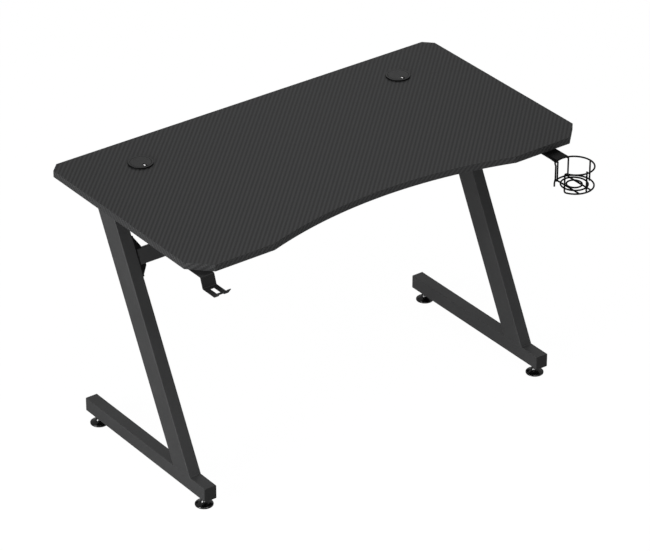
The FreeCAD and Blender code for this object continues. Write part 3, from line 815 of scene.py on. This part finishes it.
rounded(arm, radius=0.0003, segments=2, angle=45)
tidy(arm)
belongs(arm, satin_black, "desk", "cup_paint", "cup_arm")
screw_set("arm_screw_set", [(arm_x, board_front + inset, arm_high.z - arm_sheet)
                            for inset in arm_screw_insets], "cup_arm_screws")
bpy.data.objects.remove(board_screw)

# Basket rim: one length of round steel wire makes the upper rim, turns down and makes the lower one.
# The basket is spot welded together from such wire, then dipped in satin black.


def wire_from(name, start, direction):
    """The cut end of a length of wire, ready to be run out and bent."""
    stand_alone()
    bpy.ops.mesh.primitive_circle_add(vertices=16, radius=wire, fill_type="NGON", location=start,
                                      rotation=Vector(direction).to_track_quat("Z", "Y").to_euler())
    piece = named(name)
    pick(piece, "FACE", whole)
    return piece


def bend(degrees, centre, axis, steps):
    """Runs the end of a wire on round a bend."""
    bpy.ops.mesh.spin(steps=steps, angle=-math.radians(degrees), center=centre, axis=axis)


def around(radius, degrees, z):
    """A place on a circle about the middle of the basket."""
    turn = math.radians(degrees)
    return Vector((arm_x + radius * math.cos(turn), basket_y + radius * math.sin(turn), z))


def onward(degrees):
    """The way the rim runs at a place, clockwise from above."""
    turn = math.radians(degrees)
    return Vector((math.sin(turn), -math.cos(turn), 0))


rim_top = arm_high.z - arm_sheet / 2
rim_drop = 0.0538
rim_bottom = rim_top - rim_drop
rim_start = 122.0
rim_gap = -154.0
small_bend = 0.005
upward = Vector((0, 0, 1))
basket_rim = wire_from("basket_rim", around(rim, rim_start, rim_top), onward(rim_start))
bend(rim_gap - rim_start, (arm_x, basket_y, rim_top), upward, 90)
bend(90, around(rim, rim_gap, rim_top) - upward * small_bend, onward(rim_gap).cross(-upward), 8)
extrude((0, 0, 2 * small_bend - rim_drop))
bend(90, around(rim, rim_gap, rim_bottom) + upward * small_bend, upward.cross(onward(rim_gap)), 8)
bend(rim_start - rim_gap, (arm_x, basket_y, rim_bottom), upward, 90)
tidy(basket_rim, angle=50)
belongs(basket_rim, satin_black, "desk", "cup_paint", "cup_rim_wire")

# Basket uprights: four short straight wires, welded to the inside of both rims.
# Their cut ends are ground lightly, so that they don't scratch.
upright_turns = {"right_back": 71.4, "right": -7.5, "front": -88.2, "left_back": rim_start}
inside = rim - 2 * wire - weld_gap
ground_end = 0.0003
for name, degrees in upright_turns.items():
    upright = wire_from(f"basket_{name}_rod", around(inside, degrees, rim_bottom), upward)
    extrude((0, 0, rim_drop + wire))
    pick(upright, "FACE", lambda middle, normal: abs(normal.z) > square_on)
    bpy.ops.mesh.bevel(offset=ground_end, segments=2)
    tidy(upright, angle=50)
    belongs(upright, satin_black, "desk", "cup_paint", f"cup_{name}_upright")

# Basket floor: two wire rings that lie on two straight wires, which run under the lower rim.
# They are welded wherever they cross, and carry the cup.
hoop_radii = {"middle": 0.0347, "inner": 0.0198}
hoop_z = rim_bottom + wire + weld_gap / 2
for name, radius in hoop_radii.items():
    floor_ring = wire_from(f"basket_{name}_hoop", around(radius, 0, hoop_z), (0, 1, 0))
    bend(360, (arm_x, basket_y, hoop_z), upward, 72)
    tidy(floor_ring, angle=50)
    belongs(floor_ring, satin_black, "desk", "cup_paint", f"cup_{name}_ring")
for side in ("left", "right"):
    low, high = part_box(f"cup_{side}_floor_wire")
    start = ((low.x + high.x) / 2, low.y, (low.z + high.z) / 2)
    floor_rod = wire_from(f"basket_{side}_floor_rod", start, (0, 1, 0))
    extrude((0, high.y - low.y, 0))
    pick(floor_rod, "FACE", lambda middle, normal: abs(normal.y) > square_on)
    bpy.ops.mesh.bevel(offset=ground_end, segments=2)
    tidy(floor_rod, angle=50)
    belongs(floor_rod, satin_black, "desk", "cup_paint", f"cup_{side}_floor_wire")

# Basket hanger: one wire welded along the left flange of the arm, turned down past both rims.
# It jogs in beside the rim wire at its knee and out again below the lower rim.
hang_low, hang_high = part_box("cup_hanger")
hang_x = arm_low.x - wire - weld_gap
hang_y = hang_low.y + wire
hang_bend = 0.004
hang_below = 0.004
knee_below = 0.007
jog, jog_fall = 0.0026, 0.006
tail_step, tail_fall = 0.0026, 0.010
hang_top = arm_high.z - hang_below
hang_knee = hang_top - knee_below
hanger = wire_from("basket_hanger", (hang_x, hang_high.y, hang_top), (0, -1, 0))
extrude((0, hang_y + hang_bend - hang_high.y, 0))
bend(90, (hang_x, hang_y + hang_bend, hang_top - hang_bend), (1, 0, 0), 8)
reached = hang_top - hang_bend
for top, step, fall in ((hang_knee, jog, jog_fall), (rim_bottom, -tail_step, tail_fall)):
    way = math.copysign(1, step)
    lean_over = math.atan2(abs(step), fall)
    leg = hang_bend * math.tan(lean_over / 2)
    run = math.hypot(step, fall) - 2 * leg
    extrude((0, 0, top + leg - reached))
    bend(-way * math.degrees(lean_over), (hang_x + way * hang_bend, hang_y, top + leg), (0, 1, 0), 6)
    extrude((way * run * math.sin(lean_over), 0, -run * math.cos(lean_over)))
    hang_x += step
    reached = top - fall - leg
    bend(way * math.degrees(lean_over), (hang_x - way * hang_bend, hang_y, reached), (0, 1, 0), 6)
extrude((0, 0, hang_low.z - reached))
tidy(hanger, angle=50)
belongs(hanger, satin_black, "desk", "cup_paint", "cup_hanger")

# Spot welds: a small smooth nugget wherever two wires of the basket cross, coated with them.
# Each is left by the electrodes that press the wires together.
nugget_radius = 0.0015
nugget_squash = 0.75
floor_rod_x = 0.0178
stand_alone()
bpy.ops.mesh.primitive_uv_sphere_add(segments=12, ring_count=8, radius=nugget_radius)
nugget = named("nugget")
pick(nugget, "FACE", whole)
bpy.ops.transform.resize(value=(1, 1, nugget_squash))
tidy(nugget, angle=60)
beside = rim - wire - weld_gap / 2
spots = [around(beside, degrees, z) for degrees in upright_turns.values() for z in (rim_top, rim_bottom)]
for radius in hoop_radii.values():
    reach = math.sqrt(radius ** 2 - floor_rod_x ** 2)
    spots += [Vector((arm_x + sign * floor_rod_x, basket_y + way * reach, rim_bottom))
              for sign in (-1, 1) for way in (-1, 1)]
nuggets = [copied(nugget, "nugget_copy", spot) for spot in spots]
bpy.data.objects.remove(nugget)
spot_welds = joined(nuggets, "basket_spot_welds")
belongs(spot_welds, satin_black, "desk", "cup_paint")

# Studio: a plain pale floor that keeps a faint shadow, a white surround and four broad soft lamps.
# Only the camera sees the surround as white: what it adds to a gloss or a shade is dimmer.
surround = 0.26
floor_white = 1.015
floor_glow_share = 0.97
floor_size = 60
floor_below = 0.0002
stand_alone()
bpy.ops.mesh.primitive_plane_add(size=floor_size, location=(0, 0, -floor_below))
floor = named("studio_floor")
pale = bpy.data.materials.new("pale_floor")
pale.use_nodes = True
tree = pale.node_tree
tree.nodes.remove(tree.nodes["Principled BSDF"])
matt = tree.nodes.new("ShaderNodeBsdfDiffuse")
matt.inputs["Color"].default_value = (0.9, 0.9, 0.9, 1)
glow = tree.nodes.new("ShaderNodeEmission")
mixer = tree.nodes.new("ShaderNodeMixShader")
ray = tree.nodes.new("ShaderNodeLightPath").outputs
seen = sum_of("MAXIMUM", ray["Is Camera Ray"],
              sum_of("MAXIMUM", ray["Is Glossy Ray"], ray["Is Transmission Ray"]))
tree.links.new(between(ray["Is Camera Ray"], surround, floor_white), glow.inputs["Strength"])
tree.links.new(sum_of("MULTIPLY", seen, floor_glow_share), mixer.inputs["Fac"])
tree.links.new(matt.outputs["BSDF"], mixer.inputs[1])
tree.links.new(glow.outputs["Emission"], mixer.inputs[2])
tree.links.new(mixer.outputs["Shader"], tree.nodes["Material Output"].inputs["Surface"])
wear(floor, pale)

world = bpy.data.worlds.new("studio")
bpy.context.scene.world = world
world.use_nodes = True
tree = world.node_tree
sky = tree.nodes["Background"]
sky.inputs["Color"].default_value = (1, 1, 1, 1)
ray = tree.nodes.new("ShaderNodeLightPath").outputs
tree.links.new(between(ray["Is Camera Ray"], surround, 1), sky.inputs["Strength"])


def soft_lamp(name, place, aim, size, power):
    """A round soft lamp turned to the desk."""
    stand_alone()
    bpy.ops.object.light_add(type="AREA", location=place)
    lamp = bpy.context.object
    lamp.name = name
    lamp.rotation_euler = (Vector(aim) - Vector(place)).to_track_quat("-Z", "Y").to_euler()
    lamp.data.shape = "DISK"
    lamp.data.size = size
    lamp.data.energy = power


soft_lamp("side_lamp", place=(-4.4, -0.3, 1.6), aim=(0, 0, 0.4), size=2.2, power=168)
soft_lamp("near_lamp", place=(-3.1, -4.1, 1.9), aim=(0, 0, 0.3), size=1.4, power=48)
soft_lamp("back_lamp", place=(2.3, 3.2, 3.3), aim=(0, 0, 0.5), size=2.8, power=25)
soft_lamp("front_lamp", place=(-0.1, -2.2, 4.4), aim=(0, -0.1, 0.2), size=3.0, power=58)

# Camera: a long lens that stands well back, to the front left of the desk and above it.
# Its place, turn and lens were worked out from the straight edges of the board and the legs.
camera_place = (-4.9415, -6.60826, 5.16853)
camera_turn = [math.radians(degrees) for degrees in (59.97582, -0.11086, -36.51705)]
stand_alone()
bpy.ops.object.camera_add(location=camera_place, rotation=camera_turn)
camera = bpy.context.object
camera.data.sensor_fit = "HORIZONTAL"
camera.data.sensor_width = 36
camera.data.lens = 208.04
camera.data.clip_end = 100
bpy.context.scene.camera = camera
bpy.context.scene.view_settings.view_transform = "Standard"
